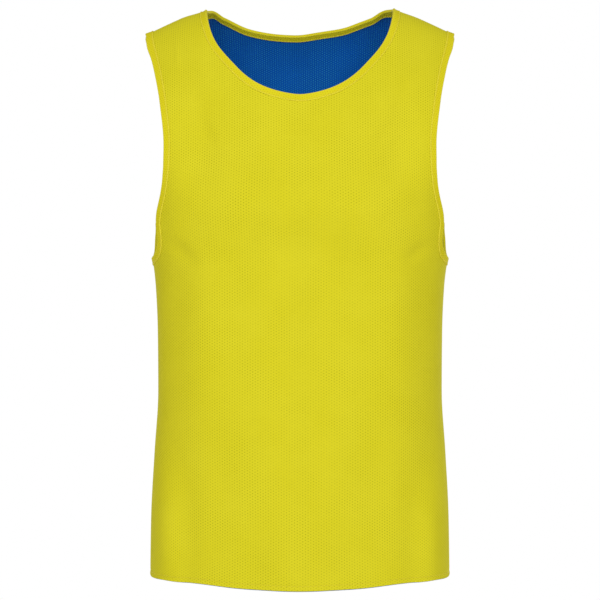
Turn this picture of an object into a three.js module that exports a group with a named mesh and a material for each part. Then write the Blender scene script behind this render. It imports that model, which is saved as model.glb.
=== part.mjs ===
// A reversible sleeveless training bib, filled out as if it were worn.
// It is cut as two layers of knitted mesh, each with a front and a back, sewn together at the sides and
// shoulders. The raw edges of the neck and of both armholes lie inside a folded binding. The hem is open.
//
// Every piece comes from one middle surface that runs between the two layers. A place on that surface is a
// spot, { turn, fall }: turn is the angle round the body from the centre of a face to the side seam, and fall
// is how far the cloth has come down from the shoulder. A layer is the surface moved out or in along its
// normals. Sizes are in millimetres, +Z is up, the wearer looks along -Y, and the origin lies midway between
// the two high shoulder points, where the wearer carries the bib.
import * as THREE from "three";

// Driving dimensions
const BODY_LENGTH = 701; // high shoulder point to hem
const HALF_NECK = 116; // centre to high shoulder point
const HALF_SHOULDER = 189.5; // centre to shoulder tip
const SHOULDER_DROP = 32.5; // the tip lies this far below the high shoulder point
const SHOULDER_CURVE = 1.05; // above 1 the shoulder line starts level at the neck
const SHOULDER_REACH = 1.15; // how far the shoulder line is known, as a share of the way from neck to tip
const UNDERARM = -314; // height of the lowest point of the armhole
const BINDING_WIDTH = 9.5;
const HEM_LIFT = 2; // the hem rides up this much between the centre and the side
const SQUARENESS = 2.2; // 2 is an ellipse, and more is squarer

// Walls
const CLOTH = 1.0;
const SEAM_GAP = 0.3;
const LAYER_START = SEAM_GAP / 2;
const LAYER_END = LAYER_START + CLOTH;
const BINDING_START = LAYER_END + SEAM_GAP;
const BINDING_END = BINDING_START + CLOTH;

// Sections through the worn form: height, half width, and how far the front and the back stand from the plane
// of the side seams
const SECTIONS = [
  { z: 0, halfWidth: 240, front: 78, back: 92 },
  { z: -50, halfWidth: 228, front: 82, back: 94 },
  { z: -100, halfWidth: 215, front: 92, back: 104 },
  { z: -150, halfWidth: 206, front: 104, back: 111 },
  { z: -200, halfWidth: 202, front: 114, back: 114 },
  { z: -240, halfWidth: 200, front: 118, back: 113 },
  { z: -280, halfWidth: 194, front: 115.5, back: 109 },
  { z: -315, halfWidth: 182, front: 113.5, back: 106 },
  { z: -345, halfWidth: 178.2, front: 113, back: 102 },
  { z: -400, halfWidth: 175.7, front: 113, back: 97 },
  { z: -475, halfWidth: 175, front: 116, back: 96 },
  { z: -550, halfWidth: 179.4, front: 122, back: 104 },
  { z: -625, halfWidth: 183.2, front: 128.5, back: 113 },
  { z: -700, halfWidth: 184.4, front: 132, back: 118 },
];

// The armhole edge above its curved foot: height, and its distance from the centre on the front and the back
const ARMHOLE = [
  { z: -32.5, front: 189.5, back: 189.5 },
  { z: -38, front: 188.6, back: 194.5 },
  { z: -50, front: 185.8, back: 190.5 },
  { z: -85, front: 175.8, back: 179 },
  { z: -125, front: 167.4, back: 172 },
  { z: -180, front: 161.5, back: 169.5 },
  { z: -198, front: 161.8, back: 171.2 },
  { z: -217, front: 164.6, back: 174.2 },
  { z: -235, front: 168.2, back: 177.6 },
  { z: -253, front: 171.4, back: 180.8 },
  { z: -270, front: 172.8, back: 182.6 },
];

// The largest folds: which face, the centre of the fold at its two ends, half its width, and its height, out
// (+) or in (-)
const FOLDS = [
  { face: "front", top: -235, bottom: -590, topX: 118, bottomX: 122, halfWidth: 46, height: 4 },
  { face: "front", top: -520, bottom: -760, topX: 0, bottomX: 0, halfWidth: 44, height: 4.5 },
  { face: "front", top: -560, bottom: -760, topX: 66, bottomX: 58, halfWidth: 34, height: -3 },
  { face: "front", top: -60, bottom: -250, topX: 150, bottomX: 96, halfWidth: 30, height: -2.5 },
  { face: "back", top: -210, bottom: -560, topX: 92, bottomX: 118, halfWidth: 44, height: 4 },
  { face: "back", top: -300, bottom: -600, topX: 0, bottomX: 0, halfWidth: 50, height: -3.5 },
  { face: "back", top: -520, bottom: -760, topX: 60, bottomX: 66, halfWidth: 36, height: -3 },
];

// The two faces. crown is how far below the shoulder line the cloth turns upright.
// neckDrop, neckRound and neckLift shape the neck edge, and the last two rows the foot of the armhole.
const FRONT = {
  name: "front",
  side: -1,
  crown: 130,
  neckDrop: 116,
  neckRound: 1.77,
  neckLift: 0.565,
  footTop: -270,
  footRound: 2.4,
};
const BACK = {
  name: "back",
  side: 1,
  crown: 70,
  neckDrop: 23,
  neckRound: 2.3,
  neckLift: 1,
  footTop: -265,
  footRound: 2,
};

// How finely the surface is divided, on each half of a face
const NECK_COLUMNS = 3; // columns that end at the foot of the neck
const STRAP_COLUMNS = 6; // columns that run on over the shoulder
const SIDE_COLUMNS = 4; // columns that end at the foot of the armhole
const COLUMNS = NECK_COLUMNS + STRAP_COLUMNS + SIDE_COLUMNS;
const SKIRT_ROWS = 5; // from the hem up to the level row
const CHEST_ROWS = 7; // from the level row up to the neck and the armhole
const STRAP_ROWS = 11;
const LEVEL_ROW = -430;
const CHEST_CROWDING = 1.5; // above 1 the rows draw closer together towards the neck
const STRAP_CROWDING = 1.4; // the same, towards the shoulder seam
const NECK_FOOT_SHARE = 0.3; // the share of the neck edge, from the centre, that ends columns
const ARMHOLE_FOOT_SHARE = 0.24; // the same, from the underarm
const FINE = 240; // samples used to measure a curve
const OFFSET_STEPS = 8;
const SETTLE_STEPS = 14;
const NUDGE = 1e-4;
const ON_SEAM = 0.01; // a point nearer to the plane between front and back than this lies on their seam
const KEY_STEPS = 100; // points that agree to a hundredth of a millimetre are one point

// How the row across the chest bends: the share of its way out and down at its two inner control points
const CHEST_BEND = { earlyOut: 0.25, earlyDown: 0.45, lateOut: 0.5, lateDown: 1 };

const QUARTER = Math.PI / 2;

// A smooth reading of one column of a table whose rows run downwards, with no overshoot between rows.
function readTable(table, column, z) {
  const last = table.length - 1;
  let i = 0;
  while (i < last - 1 && z < table[i + 1].z) i += 1;
  const step = (k) => table[k + 1].z - table[k].z;
  const rise = (k) => (table[k + 1][column] - table[k][column]) / step(k);
  const slope = (k) => {
    if (k === 0) return rise(0);
    if (k === last) return rise(last - 1);
    if (rise(k - 1) * rise(k) <= 0) return 0;
    const before = 2 * step(k) + step(k - 1);
    const after = step(k) + 2 * step(k - 1);
    return (before + after) / (before / rise(k - 1) + after / rise(k));
  };
  const t = Math.min(1, Math.max(0, (z - table[i].z) / step(i)));
  const t2 = t * t;
  const t3 = t2 * t;
  return (
    (2 * t3 - 3 * t2 + 1) * table[i][column] +
    (t3 - 2 * t2 + t) * step(i) * slope(i) +
    (3 * t2 - 2 * t3) * table[i + 1][column] +
    (t3 - t2) * step(i) * slope(i + 1)
  );
}

// The height of the shoulder line at a distance x from the centre.
function shoulderLine(x) {
  const share = (Math.abs(x) - HALF_NECK) / (HALF_SHOULDER - HALF_NECK);
  return -SHOULDER_DROP * Math.min(SHOULDER_REACH, Math.max(0, share)) ** SHOULDER_CURVE;
}

// How far out the section reaches in the direction of an angle, as a share of its half width or depth.
function reach(turn) {
  const [along, across] = [Math.abs(Math.cos(turn)), Math.abs(Math.sin(turn))];
  return (across ** SQUARENESS + along ** SQUARENESS) ** (-1 / SQUARENESS);
}

// A soft rise from 0 to 1 and back to 0 as share runs from -1 to 1.
function swell(share) {
  return Math.abs(share) < 1 ? Math.cos(share * QUARTER) ** 2 : 0;
}

function foldHeight(face, x, z) {
  let height = 0;
  for (const fold of FOLDS) {
    if (fold.face !== face.name) continue;
    const along = (z - fold.bottom) / (fold.top - fold.bottom);
    const centre = fold.bottomX + (fold.topX - fold.bottomX) * along;
    height += fold.height * swell(2 * along - 1) * swell((x - centre) / fold.halfWidth);
  }
  return height;
}

// The point of the middle surface at an angle and a height, on the side where x is positive.
function pointAt(face, turn, z) {
  const far = reach(turn);
  const x = readTable(SECTIONS, "halfWidth", z) * Math.sin(turn) * far;
  const drop = Math.max(0, (shoulderLine(x) - z) / face.crown);
  const upright = drop < 1 ? Math.sqrt(1 - (1 - drop) ** 2) : 1;
  const depth = readTable(SECTIONS, face.name, z) * far + foldHeight(face, x, z);
  return new THREE.Vector3(x, face.side * depth * Math.cos(turn) * upright, z);
}

function angleAt(x, z) {
  const share = (x / readTable(SECTIONS, "halfWidth", z)) ** SQUARENESS;
  return Math.atan((share / (1 - share)) ** (1 / SQUARENESS));
}

// fall is an angle over the crown of the shoulder, and goes on as a plain distance below it.
function spotAt(face, turn, z) {
  const x = pointAt(face, turn, z).x;
  const drop = Math.max(0, (shoulderLine(x) - z) / face.crown);
  return { turn, fall: drop < 1 ? Math.acos(1 - drop) : QUARTER + drop - 1 };
}

function place(face, spot) {
  const drop = spot.fall < QUARTER ? 1 - Math.cos(Math.max(0, spot.fall)) : spot.fall - QUARTER + 1;
  let z = -drop * face.crown;
  for (let i = 0; i < SETTLE_STEPS; i += 1)
    z = shoulderLine(pointAt(face, spot.turn, z).x) - drop * face.crown;
  return pointAt(face, spot.turn, z);
}

function mix(a, b, share) {
  return { turn: a.turn + (b.turn - a.turn) * share, fall: a.fall + (b.fall - a.fall) * share };
}

// Picks spots along a finely drawn curve at the given shares of its length.
function spaced(face, curve, shares) {
  const points = curve.map((spot) => place(face, spot));
  const lengths = [0];
  for (let i = 1; i < points.length; i += 1)
    lengths.push(lengths[i - 1] + points[i].distanceTo(points[i - 1]));
  return shares.map((share) => {
    const wanted = share * lengths[lengths.length - 1];
    let i = 1;
    while (i < lengths.length - 1 && lengths[i] < wanted) i += 1;
    return mix(curve[i - 1], curve[i], (wanted - lengths[i - 1]) / (lengths[i] - lengths[i - 1]));
  });
}

function evenShares(count) {
  return Array.from({ length: count + 1 }, (_, i) => i / count);
}

function crowdedShares(count, crowding) {
  return evenShares(count).map((share) => 1 - (1 - share) ** crowding);
}

function drawn(rule) {
  return evenShares(FINE).map(rule);
}

// The neck edge, from the centre of the face to the high shoulder point.
function neckCurve(face) {
  return drawn((share) => {
    const across = Math.sin(share * QUARTER);
    const x = HALF_NECK * across;
    const z = -face.neckDrop * Math.max(0, 1 - across ** face.neckRound) ** face.neckLift;
    return spotAt(face, angleAt(x, z), z);
  });
}

// The armhole edge, from the underarm to the shoulder tip: a rounded foot, and then the table.
function armholeCurve(face) {
  const footTurn = angleAt(readTable(ARMHOLE, face.name, face.footTop), face.footTop);
  const power = 2 / face.footRound;
  const foot = drawn((share) => {
    const turn = QUARTER - (QUARTER - footTurn) * Math.sin(share * QUARTER) ** power;
    const z = face.footTop - (face.footTop - UNDERARM) * Math.cos(share * QUARTER) ** power;
    return spotAt(face, turn, z);
  });
  const rest = drawn((share) => {
    const z = -SHOULDER_DROP - (-SHOULDER_DROP - face.footTop) * (1 - share) ** 2;
    return spotAt(face, angleAt(readTable(ARMHOLE, face.name, z), z), z);
  });
  return [...foot, ...rest.slice(1)];
}

function nudged(face, spot, turnBy, fallBy) {
  return place(face, { turn: spot.turn + turnBy, fall: spot.fall + fallBy });
}

// Moves a spot over the surface, along a direction in space.
function moved(face, spot, direction, distance) {
  let now = spot;
  for (let i = 0; i < OFFSET_STEPS; i += 1) {
    const here = place(face, now);
    const byTurn = nudged(face, now, NUDGE, 0).sub(here).divideScalar(NUDGE);
    const byFall = nudged(face, now, 0, NUDGE).sub(here).divideScalar(NUDGE);
    const step = direction.clone().multiplyScalar(distance / OFFSET_STEPS);
    const tt = byTurn.dot(byTurn);
    const tf = byTurn.dot(byFall);
    const ff = byFall.dot(byFall);
    const st = step.dot(byTurn);
    const sf = step.dot(byFall);
    const solid = tt * ff - tf * tf;
    now = { turn: now.turn + (st * ff - sf * tf) / solid, fall: now.fall + (sf * tt - st * tf) / solid };
  }
  return now;
}

// The line that lies one binding width inside an edge. way is +1 or -1 and says on which side the cloth is.
function insideLine(face, edge, way) {
  return edge.map((spot, i) => {
    const before = place(face, edge[Math.max(0, i - 1)]);
    const after = place(face, edge[Math.min(edge.length - 1, i + 1)]);
    const tangent = after.sub(before).normalize();
    const here = place(face, spot);
    const byTurn = nudged(face, spot, NUDGE, 0).sub(here);
    const byFall = nudged(face, spot, 0, NUDGE).sub(here);
    const normal = byTurn.cross(byFall).normalize();
    return moved(face, spot, tangent.cross(normal).multiplyScalar(way), BINDING_WIDTH);
  });
}

// The distance from the centre that is reached by going along the shoulder seam from x.
function alongShoulder(x, distance) {
  const slope = (shoulderLine(x + 1) - shoulderLine(x - 1)) / 2;
  return x + distance / Math.hypot(1, slope);
}

// A spot on the shoulder seam at a distance x from the centre.
function seamSpot(face, x) {
  return spotAt(face, angleAt(x, shoulderLine(x)), shoulderLine(x));
}

// The row across the chest, which leaves the neck going down and meets the armhole squarely.
function chestCurve(neckCorner, armholeCorner) {
  const turnSpan = armholeCorner.turn - neckCorner.turn;
  const fallSpan = armholeCorner.fall - neckCorner.fall;
  return drawn((share) => {
    const rest = 1 - share;
    const early = 3 * rest * rest * share;
    const late = 3 * rest * share * share;
    const end = share ** 3;
    return {
      turn: neckCorner.turn + turnSpan * (early * CHEST_BEND.earlyOut + late * CHEST_BEND.lateOut + end),
      fall: neckCorner.fall + fallSpan * (early * CHEST_BEND.earlyDown + late * CHEST_BEND.lateDown + end),
    };
  });
}

// Fills the space between four rows of spots, at the given shares of its height. bottom and top run outwards,
// left and right run upwards.
function filled(bottom, top, left, right, shares) {
  const across = bottom.length - 1;
  return shares.map((b, j) =>
    bottom.map((_, i) => {
      const a = i / across;
      const one = (key) =>
        (1 - a) * left[j][key] +
        a * right[j][key] +
        (1 - b) * bottom[i][key] +
        b * top[i][key] -
        (1 - a) * (1 - b) * bottom[0][key] -
        a * (1 - b) * bottom[across][key] -
        (1 - a) * b * top[0][key] -
        a * b * top[across][key];
      return { turn: one("turn"), fall: one("fall") };
    }),
  );
}

// Works out every row of spots of one face: its bound edges, the lines inside them, and the blocks between.
function layOut(face) {
  const skirtShares = evenShares(SKIRT_ROWS);
  const chestShares = crowdedShares(CHEST_ROWS, CHEST_CROWDING);
  const strapShares = crowdedShares(STRAP_ROWS, STRAP_CROWDING);
  const edgeShares = (footCells, footShare) => [
    ...evenShares(footCells).map((share) => share * footShare),
    ...strapShares.slice(1).map((share) => footShare + share * (1 - footShare)),
  ];
  const neckEdge = spaced(face, neckCurve(face), edgeShares(NECK_COLUMNS, NECK_FOOT_SHARE));
  const armholeEdge = spaced(face, armholeCurve(face), edgeShares(SIDE_COLUMNS, ARMHOLE_FOOT_SHARE));
  neckEdge[0].turn = 0;
  neckEdge[neckEdge.length - 1] = seamSpot(face, HALF_NECK);
  armholeEdge[0] = spotAt(face, QUARTER, UNDERARM);
  armholeEdge[armholeEdge.length - 1] = seamSpot(face, HALF_SHOULDER);

  const neckInside = insideLine(face, neckEdge, -1);
  const armholeInside = insideLine(face, armholeEdge, 1);
  const neckSeam = alongShoulder(HALF_NECK, BINDING_WIDTH);
  const tipSeam = alongShoulder(HALF_SHOULDER, -BINDING_WIDTH);
  neckInside[0].turn = 0;
  neckInside[neckInside.length - 1] = seamSpot(face, neckSeam);
  armholeInside[0] = spotAt(face, QUARTER, UNDERARM - BINDING_WIDTH);
  armholeInside[armholeInside.length - 1] = seamSpot(face, tipSeam);

  const neckCorner = neckInside[NECK_COLUMNS];
  const armholeCorner = armholeInside[SIDE_COLUMNS];
  const chest = spaced(face, chestCurve(neckCorner, armholeCorner), evenShares(STRAP_COLUMNS));
  const shoulder = evenShares(STRAP_COLUMNS).map((share) =>
    seamSpot(face, neckSeam + share * (tipSeam - neckSeam)),
  );
  const strap = filled(
    chest,
    shoulder,
    neckInside.slice(NECK_COLUMNS),
    armholeInside.slice(SIDE_COLUMNS),
    strapShares,
  );

  const hemCurve = drawn((share) => {
    const turn = share * QUARTER;
    return spotAt(face, turn, -BODY_LENGTH + HEM_LIFT * Math.sin(2 * turn) ** 2);
  });
  const hem = spaced(face, hemCurve, evenShares(COLUMNS));
  hem[COLUMNS].turn = QUARTER;
  const top = [
    ...neckInside.slice(0, NECK_COLUMNS),
    ...chest,
    ...armholeInside.slice(0, SIDE_COLUMNS).reverse(),
  ];
  const levelCurve = drawn((share) => spotAt(face, share * QUARTER, LEVEL_ROW));
  const level = spaced(face, levelCurve, evenShares(COLUMNS));
  level[COLUMNS].turn = QUARTER;
  const block = (low, high, shares) => {
    const edge = (column) => shares.map((share) => mix(low[column], high[column], share));
    return filled(low, high, edge(0), edge(COLUMNS), shares);
  };
  const blocks = [block(hem, level, skirtShares), block(level, top, chestShares), strap];
  const solid = (spots) => spots.map((spot) => place(face, spot));
  return {
    face,
    neckEdge: solid(neckEdge),
    neckInside: solid(neckInside),
    armholeEdge: solid(armholeEdge),
    armholeInside: solid(armholeInside),
    blocks: blocks.map((rows) => rows.map(solid)),
  };
}

function keyOf(point) {
  return [point.x, point.y, point.z].map((value) => Math.round(value * KEY_STEPS)).join(",");
}

// Cuts a cell in two along its shorter diagonal, which depends on the middle surface alone, so that
// everything that lies on that cell is cut the same way.
function cutCell([a, b, c, d], corners) {
  const [p, q, r, s] = corners;
  return p.distanceTo(r) <= q.distanceTo(s) ? [[a, b, c], [a, c, d]] : [[b, c, d], [b, d, a]];
}

function mirrored(point) {
  return new THREE.Vector3(-point.x, point.y, point.z);
}

// Joins the blocks of one face, and their mirror images, into one sheet of four-cornered cells facing out.
function makeSheet(plan) {
  const sheet = { face: plan.face, points: [], cells: [] };
  const known = new Map();
  const indexOf = (point) => {
    const key = keyOf(point);
    if (!known.has(key)) {
      known.set(key, sheet.points.length);
      sheet.points.push(point.clone());
    }
    return known.get(key);
  };
  const addCell = (corners) => {
    const outwards = plan.face === FRONT ? corners : [...corners].reverse();
    sheet.cells.push(outwards.map(indexOf));
    sheet.cells.push([...outwards].reverse().map((point) => indexOf(mirrored(point))));
  };
  const addRows = (rows) => {
    for (let j = 0; j + 1 < rows.length; j += 1)
      for (let i = 0; i + 1 < rows[j].length; i += 1)
        addCell([rows[j][i], rows[j][i + 1], rows[j + 1][i + 1], rows[j + 1][i]]);
  };
  plan.blocks.forEach(addRows);
  addRows([plan.neckInside, plan.neckEdge]);
  addRows([plan.armholeEdge, plan.armholeInside]);
  return sheet;
}

// The direction out of the cloth at every point, shared by the front and the back where they meet.
function findNormals(sheets) {
  const normals = new Map();
  const corner = (sheet, cell, i) => sheet.points[cell[i]];
  for (const sheet of sheets)
    for (const cell of sheet.cells) {
      const one = corner(sheet, cell, 2).clone().sub(corner(sheet, cell, 0));
      const two = corner(sheet, cell, 3).clone().sub(corner(sheet, cell, 1));
      const facing = one.cross(two);
      for (const index of cell) {
        const key = keyOf(sheet.points[index]);
        if (!normals.has(key)) normals.set(key, new THREE.Vector3());
        normals.get(key).add(facing);
      }
    }
  for (const normal of normals.values()) normal.normalize();
  return normals;
}

function geometryOf(points, triangles) {
  const geometry = new THREE.BufferGeometry();
  const numbers = points.flatMap((point) => [point.x, point.y, point.z]);
  geometry.setAttribute("position", new THREE.Float32BufferAttribute(numbers, 3));
  geometry.setIndex(triangles);
  geometry.computeVertexNormals();
  return geometry;
}

// One layer of a face: the sheet moved out to two distances, and joined round its rim.
function layerOf(sheet, normals, inner, outer) {
  const shell = (distance) =>
    sheet.points.map((point) => {
      const out = point.clone().addScaledVector(normals.get(keyOf(point)), distance);
      if (Math.abs(point.y) < ON_SEAM) out.y = sheet.face.side * (SEAM_GAP / 2);
      return out;
    });
  const count = sheet.points.length;
  const triangles = [];
  const open = new Map();
  for (const cell of sheet.cells) {
    const [a, b, c, d] = cell;
    for (const [i, j, k] of cutCell(cell, cell.map((index) => sheet.points[index])))
      triangles.push(i, j, k, i + count, k + count, j + count);
    for (const [from, to] of [[a, b], [b, c], [c, d], [d, a]]) {
      if (open.has(`${to},${from}`)) open.delete(`${to},${from}`);
      else open.set(`${from},${to}`, [from, to]);
    }
  }
  for (const [from, to] of open.values())
    triangles.push(to, from, from + count, to, from + count, to + count);
  return geometryOf([...shell(outer), ...shell(inner)], triangles);
}

// A binding folded over an edge: a channel whose two legs lie on the outside and the inside of both layers.
const INSIDE_CORNERS = [0, 5, 6, 9]; // the corners of its section that lie one binding width inside the edge
function bindingRound(stations, normals) {
  const points = [];
  for (const { edge, inside } of stations) {
    const edgeNormal = normals.get(keyOf(edge));
    const insideNormal = normals.get(keyOf(inside));
    const beyond = edge.clone().sub(inside);
    beyond.addScaledVector(edgeNormal, -beyond.dot(edgeNormal)).normalize();
    const corner = (base, normal, out, past = 0) =>
      points.push(base.clone().addScaledVector(normal, out).addScaledVector(beyond, past));
    corner(inside, insideNormal, BINDING_END);
    corner(edge, edgeNormal, BINDING_END);
    corner(edge, edgeNormal, BINDING_START, SEAM_GAP + CLOTH);
    corner(edge, edgeNormal, -BINDING_START, SEAM_GAP + CLOTH);
    corner(edge, edgeNormal, -BINDING_END);
    corner(inside, insideNormal, -BINDING_END);
    corner(inside, insideNormal, -BINDING_START);
    corner(edge, edgeNormal, -BINDING_START, SEAM_GAP);
    corner(edge, edgeNormal, BINDING_START, SEAM_GAP);
    corner(inside, insideNormal, BINDING_START);
  }
  const ring = points.length / stations.length;
  const triangles = [];
  for (let k = 0; k < stations.length; k += 1) {
    const here = k * ring;
    const next = ((k + 1) % stations.length) * ring;
    const { edge, inside } = stations[k];
    const { edge: nextEdge, inside: nextInside } = stations[(k + 1) % stations.length];
    for (let i = 0; i < ring; i += 1) {
      const j = (i + 1) % ring;
      const cell = [here + i, next + i, next + j, here + j];
      const starts = INSIDE_CORNERS.includes(i) ? [inside, nextInside] : [edge, nextEdge];
      const ends = INSIDE_CORNERS.includes(j) ? [nextInside, inside] : [nextEdge, edge];
      triangles.push(...cutCell(cell, [...starts, ...ends]).flat());
    }
  }
  return geometryOf(points, facingOut(points, triangles));
}

// Turns the triangles round if the solid that they close has a volume below zero.
function facingOut(points, triangles) {
  let volume = 0;
  for (let i = 0; i < triangles.length; i += 3) {
    const [a, b, c] = [0, 1, 2].map((k) => points[triangles[i + k]]);
    volume += a.dot(b.clone().cross(c));
  }
  if (volume > 0) return triangles;
  const turned = [...triangles];
  for (let i = 0; i < turned.length; i += 3) [turned[i + 1], turned[i + 2]] = [turned[i + 2], turned[i + 1]];
  return turned;
}

// The stations of a binding in order round its loop, from one half of the front and one half of the back.
function stationsOf(plan, edgeName, insideName) {
  return plan[edgeName].map((edge, i) => ({ edge, inside: plan[insideName][i] }));
}

function mirroredStations(stations) {
  return stations.map(({ edge, inside }) => ({ edge: mirrored(edge), inside: mirrored(inside) }));
}

function neckStations(front, back) {
  const up = stationsOf(front, "neckEdge", "neckInside");
  const down = stationsOf(back, "neckEdge", "neckInside").reverse().slice(1);
  const half = [...up, ...down];
  return [...half, ...mirroredStations(half.slice(1, -1)).reverse()];
}

function armholeStations(front, back) {
  const up = stationsOf(front, "armholeEdge", "armholeInside");
  const down = stationsOf(back, "armholeEdge", "armholeInside").reverse().slice(1, -1);
  return [...up, ...down];
}

function cloth(colour, roughness) {
  return new THREE.MeshStandardMaterial({ color: colour, roughness, metalness: 0 });
}

const frontPlan = layOut(FRONT);
const backPlan = layOut(BACK);
const frontSheet = makeSheet(frontPlan);
const backSheet = makeSheet(backPlan);
const normals = findNormals([frontSheet, backSheet]);

const yellowMesh = cloth("#dbd22d", 0.78);
const blueMesh = cloth("#0f4f9c", 0.8);
const yellowBinding = cloth("#e0d432", 0.74);

const bib = new THREE.Group();
function add(name, geometry, material) {
  const mesh = new THREE.Mesh(geometry, material);
  mesh.name = name;
  bib.add(mesh);
}

add("outer_front", layerOf(frontSheet, normals, LAYER_START, LAYER_END), yellowMesh);
add("outer_back", layerOf(backSheet, normals, LAYER_START, LAYER_END), yellowMesh);
add("inner_front", layerOf(frontSheet, normals, -LAYER_END, -LAYER_START), blueMesh);
add("inner_back", layerOf(backSheet, normals, -LAYER_END, -LAYER_START), blueMesh);
add("neck_binding", bindingRound(neckStations(frontPlan, backPlan), normals), yellowBinding);

// The wearer's left is at +X.
const leftArmhole = armholeStations(frontPlan, backPlan);
add("armhole_binding_left", bindingRound(leftArmhole, normals), yellowBinding);
add("armhole_binding_right", bindingRound(mirroredStations(leftArmhole), normals), yellowBinding);

export default bib;
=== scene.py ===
# %% [markdown]
# # A reversible training bib, filled out as if it were worn
#
# The real bib is cheap and clever: two thin layers of knitted mesh, one yellow and one blue, sewn
# together at the sides and shoulders so that either colour can be worn outside. The raw edges at
# the neck and at both armholes are wrapped in a folded strip of the same mesh, and the hem is
# turned in and stitched.
#
# This script makes its looks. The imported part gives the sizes, and every piece of cloth here stands
# where its solid stands. Lengths in the tables are millimetres, and become metres only where a mesh
# is made.

# %% Load the part
import math

import bpy
import numpy as np
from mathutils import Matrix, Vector


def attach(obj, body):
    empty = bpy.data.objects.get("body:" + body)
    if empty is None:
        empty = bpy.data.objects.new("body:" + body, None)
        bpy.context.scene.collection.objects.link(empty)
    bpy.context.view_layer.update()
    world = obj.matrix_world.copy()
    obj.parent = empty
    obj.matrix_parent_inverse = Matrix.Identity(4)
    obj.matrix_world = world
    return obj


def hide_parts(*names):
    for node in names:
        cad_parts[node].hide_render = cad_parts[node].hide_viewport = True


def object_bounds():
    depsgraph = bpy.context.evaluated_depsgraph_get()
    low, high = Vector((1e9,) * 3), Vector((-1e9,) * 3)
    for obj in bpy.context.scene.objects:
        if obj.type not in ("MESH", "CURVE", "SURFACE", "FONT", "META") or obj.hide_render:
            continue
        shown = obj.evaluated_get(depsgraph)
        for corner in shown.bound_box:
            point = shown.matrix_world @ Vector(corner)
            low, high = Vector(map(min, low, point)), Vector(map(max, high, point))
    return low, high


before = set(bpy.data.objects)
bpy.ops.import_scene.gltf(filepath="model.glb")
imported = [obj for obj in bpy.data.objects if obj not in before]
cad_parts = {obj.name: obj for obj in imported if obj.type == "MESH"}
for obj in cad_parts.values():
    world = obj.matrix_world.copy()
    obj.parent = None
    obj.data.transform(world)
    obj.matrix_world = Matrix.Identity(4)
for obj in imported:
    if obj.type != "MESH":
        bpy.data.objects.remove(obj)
part_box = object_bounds()
MM = 0.001
BODY = "root"
print("nodes:", sorted(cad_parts))

# %% [markdown]
# ## The cut
#
# All the cloth follows one middle surface, which runs between the two layers. Three short tables
# describe it: sections through the worn form, the edge of the armhole, and the largest folds. The
# rest is a formula. The section is a superellipse, and over the shoulders it closes along a rounded
# crown.

# %% The driving sizes
BODY_LENGTH = -part_box[0].z / MM
HALF_NECK = 116.0
HALF_SHOULDER = 189.5
SHOULDER_DROP = 32.5
SHOULDER_CURVE = 1.05
SHOULDER_REACH = 1.15
UNDERARM = -314.0
BINDING_WIDTH = 9.5
HEM_LIFT = 2.0
SQUARENESS = 2.2
QUARTER = math.pi / 2
print(f"the bib is {BODY_LENGTH:.0f} mm long and {2 * HALF_SHOULDER:.0f} mm across the shoulders")

# %% Sections through the body
SECTIONS = [dict(zip(("z", "half_width", "front", "back"), row)) for row in (
    (0, 240, 78, 92),
    (-50, 228, 82, 94),
    (-100, 215, 92, 104),
    (-150, 206, 104, 111),
    (-200, 202, 114, 114),
    (-240, 200, 118, 113),
    (-280, 194, 115.5, 109),
    (-315, 182, 113.5, 106),
    (-345, 178.2, 113, 102),
    (-400, 175.7, 113, 97),
    (-475, 175, 116, 96),
    (-550, 179.4, 122, 104),
    (-625, 183.2, 128.5, 113),
    (-700, 184.4, 132, 118),
)]
print(len(SECTIONS), "sections, from z =", SECTIONS[0]["z"], "to", SECTIONS[-1]["z"])

# %% The edge of the armhole
ARMHOLE = [dict(zip(("z", "front", "back"), row)) for row in (
    (-32.5, 189.5, 189.5),
    (-38, 188.6, 194.5),
    (-50, 185.8, 190.5),
    (-85, 175.8, 179),
    (-125, 167.4, 172),
    (-180, 161.5, 169.5),
    (-198, 161.8, 171.2),
    (-217, 164.6, 174.2),
    (-235, 168.2, 177.6),
    (-253, 171.4, 180.8),
    (-270, 172.8, 182.6),
)]
print("narrowest between the armholes:", 2 * min(row["front"] for row in ARMHOLE), "mm")

# %% The largest folds
# x and z of the crest's top and bottom, half the width, and the height out (+) or in (-)
FOLDS = {
    "front": [
        ((118, -235), (122, -590), 46, 4),
        ((0, -520), (0, -760), 44, 4.5),
        ((66, -560), (58, -760), 34, -3),
        ((150, -60), (96, -250), 30, -2.5),
    ],
    "back": [
        ((92, -210), (118, -560), 44, 4),
        ((0, -300), (0, -600), 50, -3.5),
        ((60, -520), (66, -760), 36, -3),
    ],
}
print("folds:", {face: len(rows) for face, rows in FOLDS.items()})

# %% What differs between front and back
FACES = {
    "front": {
        "side": -1, "crown": 130, "neck_drop": 116, "neck_round": 1.77, "neck_lift": 0.565,
        "foot_top": -270, "foot_round": 2.4,
    },
    "back": {
        "side": 1, "crown": 70, "neck_drop": 23, "neck_round": 2.3, "neck_lift": 1,
        "foot_top": -265, "foot_round": 2,
    },
}
print("neck drop:", {name: face["neck_drop"] for name, face in FACES.items()}, "mm")
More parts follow.
